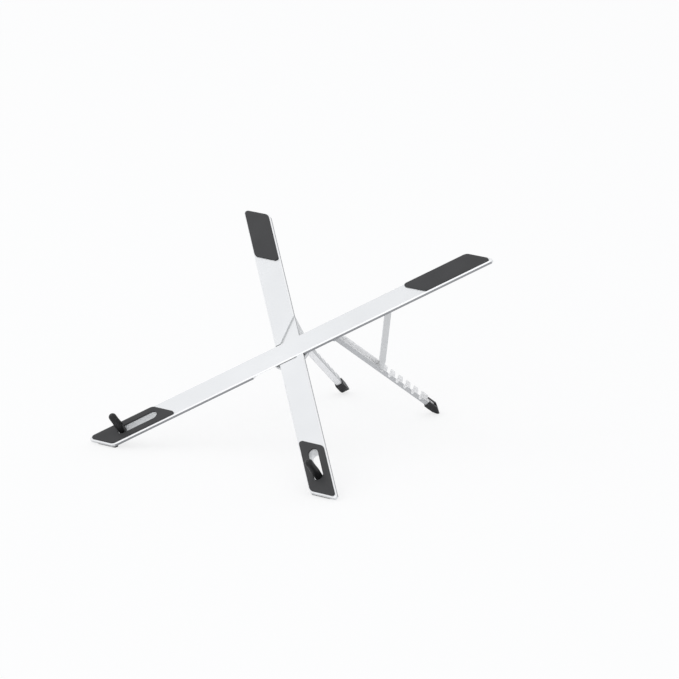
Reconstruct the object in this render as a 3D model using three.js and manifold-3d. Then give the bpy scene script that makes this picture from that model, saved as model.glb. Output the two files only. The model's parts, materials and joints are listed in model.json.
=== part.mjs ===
// Folding X-shaped laptop stand.
// Two slim aluminium arms cross at a flat pivot and carry the laptop on rubber pads.
// A notched channel leg hangs under the rear half of each arm and is propped by a strut.
// A rubber-covered hook stands through a slot at each front end and stops the laptop.
// Units are millimetres. +X is to the right, +Y to the back and +Z up; the stand rests on Z = 0.
//
// Each arm is drawn in its own frame: x across the arm, y along it towards the back, z square to it,
// with the origin on the pivot axis at the arm's top face.

import * as THREE from 'three';
import { mergeVertices } from 'three/addons/utils/BufferGeometryUtils.js';
import Module from 'manifold-3d';

const wasm = await Module();
wasm.setup();

// ---------------------------------------------------------------- driving dimensions

const CROSSING_ANGLE = 90;      // degrees between the arms as set up
const FOLDED_ANGLE = 34;        // degrees between the arms when closed

const ARM_HALF_LENGTH = 146.8;  // pivot to end cut, on the arm's middle line
const ARM_WIDTH = 18;
const ARM_THICKNESS = 2.5;
const ARM_BEVEL_WIDTH = 0.8;    // bright cut along the top edge
const ARM_BEVEL_DEPTH = 0.7;
const SHARP_CORNER_RADIUS = 1.8;
const BLUNT_CORNER_RADIUS = 7;
const LAP_TOP_SKIN = 0.8;       // what is left of arm A where it bridges arm B

const PAD_LENGTH = 50;
const PAD_THICKNESS = 0.6;
const PAD_MARGIN = 0.9;         // bare metal around a pad, measured square to its edge

const FRONT_FOOT_WIDTH = 16;
const FRONT_FOOT_INSET = 4.5;   // from the middle of the end cut towards the stand's middle
const FRONT_FOOT_RUN = 5;
const FRONT_FOOT_HEIGHT = 1;
const FRONT_FOOT_SOLE = 3;

const HOOK_FROM_END = 18.3;     // middle of the arm's end cut to the hook's pin
const HOOK_RISE = 16.5;         // above the pad
const HOOK_RADIUS = 2.7;
const HOOK_HUB_RADIUS = 2.2;
const HOOK_CORE_RADIUS = 1.1;
const HOOK_BASE_SWELL = 0.2;
const HOOK_FIT = 0.4;           // between the hook and the sides of its slot
const SLOT_SPARE = 5;           // room for a fingertip past the folded hook's end

const RIB_THICKNESS = 1.2;
const RIB_DEPTH = 4;            // below the plate

const LEG_HINGE_PLACE = 31.2;   // pivot of the stand to the leg's pin
const LEG_WIDTH = 4.6;
const LEG_OUTER_HEIGHT = 3.7;
const LEG_INNER_HEIGHT = 5.5;   // the wall that faces the other leg stands higher
const LEG_PIN_HEIGHT = 1.8;     // pin above the web's underside
const LEG_WALL = 0.8;
const LEG_WEB = 0.9;
const LEG_BEND_RADIUS = 1;      // outside of the folds between web and walls
const LEG_RAMP_START = 6.2;     // where the high wall starts to rise, clear of the bracket
const LEG_RAMP_LENGTH = 2.5;
const LEG_LENGTH = 104.5;       // pin to the end of the metal
const LEG_END_RISE = 2;         // height of the square end below its chamfer
const LEG_END_CHAMFER = 4;
const LEG_ANGLE = 73.7;         // degrees below the arm, in the first notch

const NOTCH_COUNT = 6;
const NOTCH_FIRST = 47.7;       // pin to the first notch
const NOTCH_PITCH = 7.9;
const NOTCH_RADIUS = 1.2;
const NOTCH_FLOOR = 1.4;        // metal left under a notch
const NOTCH_LEAN = 41;          // degrees that a notch leans towards the hinge

const STRUT_HINGE_PLACE = 76.6;
const STRUT_HEIGHT = 4.2;
const STRUT_THICKNESS = 2.2;
const STRUT_NOSE_RADIUS = 1;
const STRUT_NOSE_TAPER = 7;
const STRUT_KNUCKLE_RADIUS = 1.7;
const STRUT_DROP = 1.5;         // the strut's middle line below its pin when folded

const CAP_WALL = 0.5;
const CAP_COVER = 9.5;          // length of leg inside the rubber cap
const CAP_NOSE = 3.3;           // rubber beyond the metal
const CAP_CHAMFER = 5;
const CAP_CHAMFER_RISE = 1.2;
const CAP_PRESS = 0.4;          // how far the cap's corner is flattened on the floor

const BRACKET_SHEET = 0.9;
const BRACKET_REACH = 5.4;      // half its length along the arm
const BRACKET_LUG_RADIUS = 2;
const RIVET_RADIUS = 1;
const RIVET_HEAD_RADIUS = 1.8;
const RIVET_HEAD_HEIGHT = 0.4;

const LEG_PIN_RADIUS = 1;
const LEG_PIN_HEAD_RADIUS = 1.6;
const LEG_PIN_HEAD_HEIGHT = 0.6;
const SMALL_PIN_RADIUS = 0.75;  // hook and strut pins

const HUB_RADIUS = 14.5;
const HUB_THICKNESS = 1.8;
const HUB_WASHER_RADIUS = 6;
const HUB_WASHER_THICKNESS = 0.6;
const PIVOT_RADIUS = 3;
const PIVOT_HEAD_RADIUS = 5.5;
const PIVOT_HEAD_HEIGHT = 1.2;
const PIVOT_SEAT = 0.35;        // depth of the pivot's seat in arm A

const GAP = 0.3;                // between pieces that touch or turn on each other
const CAP_FIT = 0.15;           // between the cap and the leg
const PIN_FIT = 0.25;           // round the small pins
const OVERSHOOT = 20;           // how far a cutting tool runs past what it cuts

// ---------------------------------------------------------------- derived dimensions

const halfCross = THREE.MathUtils.degToRad(CROSSING_ANGLE / 2);
const endSlope = Math.tan(halfCross);
const armHalf = ARM_WIDTH / 2;
const padHalf = armHalf - PAD_MARGIN;
const padOuterEnd = ARM_HALF_LENGTH - PAD_MARGIN / Math.cos(halfCross);
const padInnerEnd = padOuterEnd - PAD_LENGTH;
const padTop = GAP + PAD_THICKNESS;

const slotHalf = HOOK_RADIUS + HOOK_FIT;
const channelHalf = Math.max(slotHalf, LEG_WIDTH / 2 + CAP_FIT + CAP_WALL + CAP_FIT);
const ribOuter = channelHalf + RIB_THICKNESS;
const ribBottom = -ARM_THICKNESS - RIB_DEPTH;
const smallPinHole = SMALL_PIN_RADIUS + PIN_FIT;
const smallPinDepth = -ARM_THICKNESS - smallPinHole - 0.1;

const hookPlace = ARM_HALF_LENGTH - HOOK_FROM_END;
const hookLength = padTop + HOOK_RISE - smallPinDepth;
const hookHubHalf = Math.sqrt(slotHalf ** 2 - HOOK_HUB_RADIUS ** 2) - GAP;
const slotInnerEnd = hookPlace - hookLength + HOOK_RADIUS - SLOT_SPARE;

const legBottom = -LEG_PIN_HEIGHT;
const legOuterCrest = legBottom + LEG_OUTER_HEIGHT;
const legInnerCrest = legBottom + LEG_INNER_HEIGHT;
const legHalfWidth = LEG_WIDTH / 2;
const legPinHole = LEG_PIN_RADIUS + GAP;
const bracketTop = -ARM_THICKNESS - GAP;
const legCrestFolded = smallPinDepth - SMALL_PIN_RADIUS - PIN_FIT;
const legPinDepth = legCrestFolded - legOuterCrest;
const legAngle = THREE.MathUtils.degToRad(LEG_ANGLE);
const notchLean = THREE.MathUtils.degToRad(NOTCH_LEAN);
const notchHeight = legBottom + NOTCH_FLOOR + NOTCH_RADIUS;

const legAlong = new THREE.Vector2(Math.cos(legAngle), -Math.sin(legAngle));
const legUp = new THREE.Vector2(Math.sin(legAngle), Math.cos(legAngle));
const legHinge = new THREE.Vector2(LEG_HINGE_PLACE, legPinDepth);
const strutHinge = new THREE.Vector2(STRUT_HINGE_PLACE, smallPinDepth);
const noseSeat = legHinge.clone().addScaledVector(legAlong, NOTCH_FIRST).addScaledVector(legUp, notchHeight);
const strutReach = noseSeat.clone().sub(strutHinge);
const strutLength = Math.sqrt(strutReach.lengthSq() - STRUT_DROP ** 2);
const strutAngle = Math.atan2(-strutReach.y, strutReach.x) - Math.atan2(STRUT_DROP, strutLength);

const capHalfWidth = legHalfWidth + CAP_FIT + CAP_WALL;
const capBottom = legBottom - CAP_FIT - CAP_WALL;
const capTop = legOuterCrest + CAP_FIT + CAP_WALL;
const capMouth = LEG_LENGTH - CAP_COVER;
const capEnd = LEG_LENGTH + CAP_NOSE;

const lapGap = GAP - 0.05;
const lapFloor = LAP_TOP_SKIN + lapGap;
const hubTop = -ARM_THICKNESS - GAP;
const washerTop = hubTop - HUB_THICKNESS - GAP;
const pivotHeadTop = washerTop - HUB_WASHER_THICKNESS - GAP;
const pivotHole = PIVOT_RADIUS + GAP;

// ---------------------------------------------------------------- finishes

const finishes = {
  silver: { color: 0xdfe2e5, roughness: 0.38, metalness: 0.9 },
  steel: { color: 0xb4b7ba, roughness: 0.3, metalness: 1 },
  padRubber: { color: 0x4b4b4c, roughness: 0.75, metalness: 0 },
  hookRubber: { color: 0x1c1c1d, roughness: 0.55, metalness: 0 },
  capRubber: { color: 0x2e2e2f, roughness: 0.65, metalness: 0 },
  nylon: { color: 0xe4e2da, roughness: 0.5, metalness: 0 },
};

// ---------------------------------------------------------------- solids and meshes

function solid(geometry) {
  const bare = geometry.index ? geometry.toNonIndexed() : geometry.clone();
  bare.deleteAttribute('normal');
  bare.deleteAttribute('uv');
  const merged = mergeVertices(bare, 1e-4);
  return new wasm.Manifold(new wasm.Mesh({
    numProp: 3,
    vertProperties: new Float32Array(merged.attributes.position.array),
    triVerts: new Uint32Array(merged.index.array),
  }));
}

function piece(name, shape, finish) {
  const result = shape.getMesh();
  const geometry = new THREE.BufferGeometry();
  geometry.setAttribute('position', new THREE.BufferAttribute(result.vertProperties, 3));
  geometry.setIndex(new THREE.BufferAttribute(result.triVerts, 1));
  geometry.computeVertexNormals();
  const mesh = new THREE.Mesh(geometry, new THREE.MeshStandardMaterial(finishes[finish]));
  mesh.name = name;
  return mesh;
}

// A box given by its lowest and highest corners.
function block(low, high) {
  const size = high.map((value, axis) => value - low[axis]);
  const geometry = new THREE.BoxGeometry(...size);
  geometry.translate(...low.map((value, axis) => value + size[axis] / 2));
  return solid(geometry);
}

// A flat outline in x and y, raised from one z to another.
function slab(outline, bottom, top, curveSegments = 8) {
  const geometry = new THREE.ExtrudeGeometry(outline, {
    depth: top - bottom,
    bevelEnabled: false,
    curveSegments,
  });
  geometry.translate(0, 0, bottom);
  return solid(geometry);
}

// A side outline in y and z, carried across from -halfWidth to +halfWidth in x.
function sidePiece(outline, halfWidth, curveSegments = 8) {
  const geometry = new THREE.ExtrudeGeometry(outline, {
    depth: 2 * halfWidth,
    bevelEnabled: false,
    curveSegments,
  });
  geometry.translate(0, 0, -halfWidth);
  const turn = new THREE.Matrix4().makeBasis(
    new THREE.Vector3(0, 1, 0),
    new THREE.Vector3(0, 0, 1),
    new THREE.Vector3(1, 0, 0),
  );
  geometry.applyMatrix4(turn);
  return solid(geometry);
}

// A round bar along x.
function crossBar(radius, halfLength, y = 0, z = 0, sides = 20) {
  const geometry = new THREE.CylinderGeometry(radius, radius, 2 * halfLength, sides);
  geometry.rotateZ(Math.PI / 2);
  geometry.translate(0, y, z);
  return solid(geometry);
}

// A round bar along z.
function uprightBar(radius, bottom, top, x = 0, y = 0, sides = 24) {
  const geometry = new THREE.CylinderGeometry(radius, radius, top - bottom, sides);
  geometry.rotateX(Math.PI / 2);
  geometry.translate(x, y, (top + bottom) / 2);
  return solid(geometry);
}

// A polygon whose corners are rounded, each by its own radius.
function roundedOutline(corners, radii) {
  const outline = new THREE.Shape();
  corners.forEach((corner, index) => {
    const before = corners[(index + corners.length - 1) % corners.length];
    const after = corners[(index + 1) % corners.length];
    const toBefore = before.clone().sub(corner).normalize();
    const toAfter = after.clone().sub(corner).normalize();
    const halfAngle = Math.acos(toBefore.dot(toAfter)) / 2;
    const radius = radii[index];
    const start = corner.clone().addScaledVector(toBefore, radius / Math.tan(halfAngle));
    const end = corner.clone().addScaledVector(toAfter, radius / Math.tan(halfAngle));
    const bisector = toBefore.clone().add(toAfter).normalize();
    const centre = corner.clone().addScaledVector(bisector, radius / Math.sin(halfAngle));
    const turnsRight = toBefore.cross(toAfter) > 0;
    const startAngle = start.clone().sub(centre).angle();
    const endAngle = end.clone().sub(centre).angle();
    if (index === 0) {
      outline.moveTo(start.x, start.y);
    } else {
      outline.lineTo(start.x, start.y);
    }
    outline.absarc(centre.x, centre.y, radius, startAngle, endAngle, turnsRight);
  });
  outline.closePath();
  return outline;
}

// A slot outline along y with round ends.
function stadium(halfWidth, lowCentre, highCentre) {
  const outline = new THREE.Shape();
  outline.absarc(0, lowCentre, halfWidth, Math.PI, 2 * Math.PI, false);
  outline.absarc(0, highCentre, halfWidth, 0, Math.PI, false);
  outline.closePath();
  return outline;
}

// ---------------------------------------------------------------- arms and pads

// The outline that arms and pads share: straight sides and both ends cut parallel to the stand's front.
function slantedOutline(low, high, halfWidth, slope, sharpRadius, bluntRadius) {
  const corners = [
    new THREE.Vector2(-halfWidth, low - slope * halfWidth),
    new THREE.Vector2(halfWidth, low + slope * halfWidth),
    new THREE.Vector2(halfWidth, high + slope * halfWidth),
    new THREE.Vector2(-halfWidth, high - slope * halfWidth),
  ];
  const leftLowIsSharp = slope > 0;
  const radii = corners.map((_, index) => ((index % 2 === 0) === leftLowIsSharp ? sharpRadius : bluntRadius));
  return roundedOutline(corners, radii);
}

// The space that the other arm sweeps as the stand closes.
function crossingSweep(turnSign, bottom, top) {
  const steps = 12;
  let sweep = null;
  for (let step = 0; step <= steps; step += 1) {
    const between = THREE.MathUtils.lerp(CROSSING_ANGLE, FOLDED_ANGLE, step / steps);
    const strip = new THREE.BoxGeometry(ARM_WIDTH + 2 * GAP, 2 * ARM_HALF_LENGTH, top - bottom);
    strip.rotateZ(turnSign * THREE.MathUtils.degToRad(between));
    strip.translate(0, 0, (top + bottom) / 2);
    sweep = sweep ? sweep.add(solid(strip)) : solid(strip);
  }
  return sweep;
}

function armSolid(slope, bridges) {
  const outline = slantedOutline(
    -ARM_HALF_LENGTH,
    ARM_HALF_LENGTH,
    armHalf,
    slope,
    SHARP_CORNER_RADIUS,
    BLUNT_CORNER_RADIUS,
  );
  const plateGeometry = new THREE.ExtrudeGeometry(outline, {
    depth: ARM_THICKNESS - ARM_BEVEL_DEPTH,
    bevelThickness: ARM_BEVEL_DEPTH,
    bevelSize: ARM_BEVEL_WIDTH,
    bevelOffset: -ARM_BEVEL_WIDTH,
    bevelSegments: 1,
    curveSegments: 8,
  });
  plateGeometry.translate(0, 0, -ARM_THICKNESS);
  const wide = ARM_WIDTH * 2;
  const long = ARM_HALF_LENGTH * 2;
  const below = block([-wide, -long, -OVERSHOOT], [wide, long, -ARM_THICKNESS]);
  let arm = solid(plateGeometry).subtract(below);

  // Twin ribs under the rear half, between which the leg folds.
  const ribStart = LEG_HINGE_PLACE + BRACKET_REACH + GAP;
  const ribEnd = LEG_HINGE_PLACE + capMouth - 2 * GAP;
  const ribTop = -ARM_THICKNESS / 2;
  const ribs = block([-ribOuter, ribStart, ribBottom], [ribOuter, ribEnd, ribTop]);
  const channel = block([-channelHalf, ribStart - OVERSHOOT, ribBottom - OVERSHOOT],
    [channelHalf, ribEnd + OVERSHOOT, -ARM_THICKNESS]);
  arm = arm.add(ribs.subtract(channel));
  const knucklePocket = STRUT_KNUCKLE_RADIUS + 2 * GAP;
  arm = arm.subtract(block(
    [-channelHalf, STRUT_HINGE_PLACE - 2 * knucklePocket, ribBottom],
    [channelHalf, STRUT_HINGE_PLACE + 2 * knucklePocket, smallPinDepth + knucklePocket - GAP],
  ));
  arm = arm.subtract(crossBar(smallPinHole, armHalf, STRUT_HINGE_PLACE, smallPinDepth));

  // The hook's bay: a walled slot through the front end.
  const bay = slab(stadium(ribOuter, -hookPlace, -slotInnerEnd), ribBottom, ribTop);
  arm = arm.add(bay);
  const slot = stadium(slotHalf, -hookPlace, -slotInnerEnd);
  arm = arm.subtract(slab(slot, ribBottom - OVERSHOOT, OVERSHOOT, 12));
  arm = arm.subtract(crossBar(smallPinHole, armHalf, -hookPlace, smallPinDepth));

  // Seats for the rivets that hold the leg's bracket.
  for (const side of [-1, 1]) {
    const rivetPlace = LEG_HINGE_PLACE + side * bracketRivetReach();
    arm = arm.subtract(uprightBar(RIVET_RADIUS + GAP, ribBottom, rivetTop() + GAP, 0, rivetPlace));
  }

  // The lap at the crossing: arm A bridges arm B, so that their tops stay level.
  if (bridges) {
    arm = arm.subtract(crossingSweep(1, -OVERSHOOT, -LAP_TOP_SKIN));
    arm = arm.subtract(uprightBar(pivotHole, -ARM_THICKNESS, -LAP_TOP_SKIN + PIVOT_SEAT));
  } else {
    arm = arm.subtract(crossingSweep(-1, -lapFloor, OVERSHOOT));
    arm = arm.subtract(uprightBar(pivotHole, -OVERSHOOT, OVERSHOOT));
  }
  return arm;
}

function padSolid(low, high, slope) {
  const bluntRadius = BLUNT_CORNER_RADIUS - PAD_MARGIN;
  const outline = slantedOutline(low, high, padHalf, slope, SHARP_CORNER_RADIUS, bluntRadius);
  return slab(outline, GAP, padTop);
}

function frontPadSolid(slope) {
  const hole = slab(stadium(slotHalf + GAP, -hookPlace, -slotInnerEnd), -OVERSHOOT, OVERSHOOT, 12);
  return padSolid(-padOuterEnd, -padInnerEnd, slope).subtract(hole);
}

// ---------------------------------------------------------------- hook

function hookCoreSolid() {
  const hub = crossBar(HOOK_HUB_RADIUS, hookHubHalf);
  const stem = uprightBar(HOOK_CORE_RADIUS, 0, hookLength - 2 * HOOK_RADIUS);
  return hub.add(stem).subtract(crossBar(smallPinHole, HOOK_RADIUS * 2));
}

function hookSleeveSolid() {
  const base = HOOK_HUB_RADIUS + GAP;
  const bore = HOOK_CORE_RADIUS + GAP;
  const boreEnd = hookLength - 2 * HOOK_RADIUS + GAP;
  const profile = new THREE.Path();
  profile.moveTo(0, boreEnd);
  profile.lineTo(bore, boreEnd);
  profile.lineTo(bore, base);
  profile.lineTo(HOOK_RADIUS, base);
  profile.lineTo(HOOK_RADIUS, padTop - smallPinDepth);
  profile.lineTo(HOOK_RADIUS + HOOK_BASE_SWELL, padTop - smallPinDepth + 2 * HOOK_RADIUS);
  profile.lineTo(HOOK_RADIUS, hookLength - 2 * HOOK_RADIUS);
  profile.lineTo(HOOK_RADIUS, hookLength - HOOK_RADIUS);
  profile.absarc(0, hookLength - HOOK_RADIUS, HOOK_RADIUS, 0, Math.PI / 2, false);
  const geometry = new THREE.LatheGeometry(profile.getPoints(6), 24);
  geometry.rotateX(Math.PI / 2);
  return solid(geometry);
}

// ---------------------------------------------------------------- leg, cap and strut

// The channel leg from the side, as high as its higher wall.
function legOutline() {
  const outline = new THREE.Shape();
  const mouthWay = new THREE.Vector2(-Math.sin(notchLean), Math.cos(notchLean));
  const acrossNotch = new THREE.Vector2(Math.cos(notchLean), Math.sin(notchLean));
  outline.moveTo(0, legBottom);
  outline.lineTo(LEG_LENGTH, legBottom);
  outline.lineTo(LEG_LENGTH, legBottom + LEG_END_RISE);
  outline.lineTo(LEG_LENGTH - LEG_END_CHAMFER, legOuterCrest);
  outline.lineTo(capMouth - 2 * GAP, legOuterCrest);
  outline.lineTo(capMouth - 2 * GAP - NOTCH_RADIUS, legInnerCrest);
  for (let index = NOTCH_COUNT - 1; index >= 0; index -= 1) {
    const centre = new THREE.Vector2(NOTCH_FIRST + index * NOTCH_PITCH, notchHeight);
    const footSide = centre.clone().addScaledVector(acrossNotch, NOTCH_RADIUS);
    const hingeSide = centre.clone().addScaledVector(acrossNotch, -NOTCH_RADIUS);
    const footRise = (legInnerCrest - footSide.y) / mouthWay.y;
    const hingeRise = (legInnerCrest - hingeSide.y) / mouthWay.y;
    const footCrest = footSide.clone().addScaledVector(mouthWay, footRise);
    const hingeCrest = hingeSide.clone().addScaledVector(mouthWay, hingeRise);
    outline.lineTo(footCrest.x + NOTCH_RADIUS, footCrest.y);
    outline.quadraticCurveTo(
      footCrest.x,
      footCrest.y,
      footCrest.x - mouthWay.x * NOTCH_RADIUS,
      footCrest.y - mouthWay.y * NOTCH_RADIUS,
    );
    outline.lineTo(footSide.x, footSide.y);
    outline.absarc(centre.x, centre.y, NOTCH_RADIUS, notchLean, notchLean - Math.PI, true);
    outline.lineTo(hingeCrest.x - mouthWay.x * NOTCH_RADIUS, hingeCrest.y - mouthWay.y * NOTCH_RADIUS);
    outline.quadraticCurveTo(hingeCrest.x, hingeCrest.y, hingeCrest.x - NOTCH_RADIUS, hingeCrest.y);
  }
  outline.lineTo(LEG_RAMP_START + LEG_RAMP_LENGTH, legInnerCrest);
  outline.lineTo(LEG_RAMP_START, legOuterCrest);
  outline.lineTo(0, legOuterCrest);
  outline.absarc(0, (legBottom + legOuterCrest) / 2, LEG_OUTER_HEIGHT / 2, Math.PI / 2, 1.5 * Math.PI, false);
  outline.closePath();
  return outline;
}

// The leg's section, which rounds off the folds between its web and walls.
function legEnvelope() {
  const top = legInnerCrest + OVERSHOOT;
  const corners = [
    new THREE.Vector2(-legHalfWidth, legBottom),
    new THREE.Vector2(legHalfWidth, legBottom),
    new THREE.Vector2(legHalfWidth, top),
    new THREE.Vector2(-legHalfWidth, top),
  ];
  const radii = corners.map(() => LEG_BEND_RADIUS);
  const length = LEG_LENGTH + 2 * OVERSHOOT;
  const geometry = new THREE.ExtrudeGeometry(roundedOutline(corners, radii), {
    depth: length,
    bevelEnabled: false,
    curveSegments: 4,
  });
  geometry.rotateX(Math.PI / 2);
  geometry.translate(0, length - OVERSHOOT, 0);
  return solid(geometry);
}

// outerSide is +1 where the leg's low wall is on the +x side, and -1 where it is on the other.
function legSolid(outerSide) {
  const inside = block(
    [-legHalfWidth + LEG_WALL, -OVERSHOOT, legBottom + LEG_WEB],
    [legHalfWidth - LEG_WALL, LEG_LENGTH + OVERSHOOT, legInnerCrest + OVERSHOOT],
  );
  const aboveLowWall = block(
    [Math.min(0, outerSide * OVERSHOOT), -OVERSHOOT, legOuterCrest],
    [Math.max(0, outerSide * OVERSHOOT), LEG_LENGTH + OVERSHOOT, legInnerCrest + OVERSHOOT],
  );
  const strutPinPlace = STRUT_HINGE_PLACE - LEG_HINGE_PLACE;
  const strutPinRoom = SMALL_PIN_RADIUS + GAP;
  const aroundStrutPin = block(
    [-OVERSHOOT, strutPinPlace - strutPinRoom, smallPinDepth - legPinDepth - strutPinRoom],
    [OVERSHOOT, strutPinPlace + strutPinRoom, legInnerCrest + OVERSHOOT],
  );
  return sidePiece(legOutline(), legHalfWidth, 5)
    .intersect(legEnvelope())
    .subtract(inside)
    .subtract(aboveLowWall)
    .subtract(aroundStrutPin)
    .subtract(crossBar(legPinHole, legHalfWidth * 2));
}

// The leg's foot end, grown by the same amount all round: the cap's pocket.
function capPocketOutline() {
  const outline = new THREE.Shape();
  outline.moveTo(capMouth - OVERSHOOT, legBottom - CAP_FIT);
  outline.lineTo(LEG_LENGTH + CAP_FIT, legBottom - CAP_FIT);
  outline.lineTo(LEG_LENGTH + CAP_FIT, legBottom + LEG_END_RISE + CAP_FIT);
  outline.lineTo(LEG_LENGTH - LEG_END_CHAMFER + CAP_FIT, legOuterCrest + CAP_FIT);
  outline.lineTo(capMouth - OVERSHOOT, legOuterCrest + CAP_FIT);
  outline.closePath();
  return outline;
}

function capSolid() {
  const outline = new THREE.Shape();
  outline.moveTo(capMouth, capBottom);
  outline.lineTo(capEnd - CAP_CHAMFER, capBottom);
  outline.lineTo(capEnd - CAP_FIT, capBottom + CAP_CHAMFER_RISE);
  outline.lineTo(capEnd, (capBottom + capTop) / 2);
  outline.lineTo(capEnd - CAP_CHAMFER, capTop);
  outline.lineTo(capMouth, capTop);
  outline.closePath();
  const folded = LEG_HINGE_PLACE - STRUT_HINGE_PLACE;
  const noseEnd = strutLength - folded + STRUT_NOSE_RADIUS + GAP;
  const noseGroove = block(
    [-STRUT_THICKNESS / 2 - GAP, capMouth - OVERSHOOT, strutNoseFolded() - STRUT_NOSE_RADIUS - GAP],
    [STRUT_THICKNESS / 2 + GAP, noseEnd, capTop + OVERSHOOT],
  );
  return sidePiece(outline, capHalfWidth)
    .subtract(sidePiece(capPocketOutline(), legHalfWidth + CAP_FIT))
    .subtract(noseGroove);
}

// Height of the strut's nose above the leg's middle line when both are folded.
function strutNoseFolded() {
  return smallPinDepth - STRUT_DROP - legPinDepth;
}

function strutSolid() {
  const top = -STRUT_DROP + STRUT_HEIGHT / 2;
  const bottom = -STRUT_DROP - STRUT_HEIGHT / 2;
  const shoulder = STRUT_HEIGHT * 1.4;
  const knuckleStart = THREE.MathUtils.degToRad(80);
  const knuckleEnd = THREE.MathUtils.degToRad(255);
  const outline = new THREE.Shape();
  outline.moveTo(shoulder, bottom);
  outline.lineTo(strutLength - STRUT_NOSE_TAPER, bottom);
  outline.lineTo(strutLength, -STRUT_DROP - STRUT_NOSE_RADIUS);
  outline.absarc(strutLength, -STRUT_DROP, STRUT_NOSE_RADIUS, -Math.PI / 2, Math.PI / 2, false);
  outline.lineTo(strutLength - STRUT_NOSE_TAPER, top);
  outline.lineTo(2 * STRUT_KNUCKLE_RADIUS, top);
  outline.absarc(0, 0, STRUT_KNUCKLE_RADIUS, knuckleStart, knuckleEnd, false);
  outline.closePath();
  return sidePiece(outline, STRUT_THICKNESS / 2).subtract(crossBar(smallPinHole, STRUT_THICKNESS));
}

// ---------------------------------------------------------------- bracket, rivets and pins

function bracketRivetReach() {
  return BRACKET_REACH - RIVET_HEAD_RADIUS + GAP;
}

function rivetTop() {
  return -ARM_THICKNESS / 2 - GAP;
}

// A bent sheet that hangs the leg's pin under the arm.
function bracketSolid() {
  const inner = legHalfWidth + GAP;
  const outer = inner + BRACKET_SHEET;
  const sheetBottom = bracketTop - BRACKET_SHEET;
  const cheek = new THREE.Shape();
  cheek.moveTo(LEG_HINGE_PLACE + BRACKET_REACH, bracketTop);
  cheek.lineTo(LEG_HINGE_PLACE - BRACKET_REACH, bracketTop);
  cheek.lineTo(LEG_HINGE_PLACE - BRACKET_REACH, sheetBottom);
  cheek.absarc(LEG_HINGE_PLACE, legPinDepth, BRACKET_LUG_RADIUS, Math.PI, 2 * Math.PI, false);
  cheek.lineTo(LEG_HINGE_PLACE + BRACKET_REACH, sheetBottom);
  cheek.closePath();
  const inside = block(
    [-inner, LEG_HINGE_PLACE - OVERSHOOT, legPinDepth - OVERSHOOT],
    [inner, LEG_HINGE_PLACE + OVERSHOOT, sheetBottom],
  );
  let bracket = sidePiece(cheek, outer)
    .subtract(inside)
    .subtract(crossBar(legPinHole, outer * 2, LEG_HINGE_PLACE, legPinDepth));
  for (const side of [-1, 1]) {
    const place = LEG_HINGE_PLACE + side * bracketRivetReach();
    bracket = bracket.subtract(uprightBar(RIVET_RADIUS + GAP, legPinDepth, 0, 0, place));
  }
  return bracket;
}

function bracketRivetSolid(side) {
  const place = LEG_HINGE_PLACE + side * bracketRivetReach();
  const headTop = bracketTop - BRACKET_SHEET - GAP;
  const head = uprightBar(RIVET_HEAD_RADIUS, headTop - RIVET_HEAD_HEIGHT, headTop, 0, place);
  return head.add(uprightBar(RIVET_RADIUS, headTop - RIVET_HEAD_HEIGHT / 2, rivetTop(), 0, place));
}

function legPinSolid() {
  const outer = legHalfWidth + GAP + BRACKET_SHEET + GAP;
  let pin = crossBar(LEG_PIN_RADIUS, outer + LEG_PIN_HEAD_HEIGHT / 2, LEG_HINGE_PLACE, legPinDepth);
  for (const side of [-1, 1]) {
    const head = new THREE.CylinderGeometry(
      LEG_PIN_HEAD_RADIUS,
      LEG_PIN_HEAD_RADIUS,
      LEG_PIN_HEAD_HEIGHT,
      20,
    );
    head.rotateZ(Math.PI / 2);
    head.translate(side * (outer + LEG_PIN_HEAD_HEIGHT / 2), LEG_HINGE_PLACE, legPinDepth);
    pin = pin.add(solid(head));
  }
  return pin;
}

// ---------------------------------------------------------------- crossing pivot

function hubDiscSolid() {
  return uprightBar(HUB_RADIUS, hubTop - HUB_THICKNESS, hubTop, 0, 0, 48)
    .subtract(uprightBar(pivotHole, -OVERSHOOT, OVERSHOOT));
}

function hubWasherSolid() {
  return uprightBar(HUB_WASHER_RADIUS, washerTop - HUB_WASHER_THICKNESS, washerTop, 0, 0, 32)
    .subtract(uprightBar(pivotHole, -OVERSHOOT, OVERSHOOT));
}

function pivotPinSolid() {
  const head = uprightBar(PIVOT_HEAD_RADIUS, pivotHeadTop - PIVOT_HEAD_HEIGHT, pivotHeadTop, 0, 0, 32);
  const seatTop = -LAP_TOP_SKIN + PIVOT_SEAT - GAP / 2;
  return head.add(uprightBar(PIVOT_RADIUS, pivotHeadTop - PIVOT_HEAD_HEIGHT / 2, seatTop));
}

// ---------------------------------------------------------------- assembly

// The front foot's toe touches the floor first, just behind the end cut.
const toe = new THREE.Vector2(
  -ARM_HALF_LENGTH * Math.cos(halfCross) + PAD_MARGIN / 2,
  -ARM_THICKNESS - GAP - FRONT_FOOT_HEIGHT,
);

// The lowest corner of the leg's cap, in the plane of the arms: back from the pivot, and square to them.
function capCorner() {
  const along = capEnd - CAP_FIT;
  const up = capBottom + CAP_CHAMFER_RISE;
  const corner = legHinge.clone().addScaledVector(legAlong, along).addScaledVector(legUp, up);
  const back = corner.x * Math.cos(halfCross) - capHalfWidth * Math.sin(halfCross);
  return new THREE.Vector2(back, corner.y);
}

// The tilt that puts both front feet and both caps on the floor.
const footSpan = capCorner().sub(toe);
const tilt = -Math.atan2(footSpan.y, footSpan.x) - Math.asin(CAP_PRESS / footSpan.length());

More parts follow.
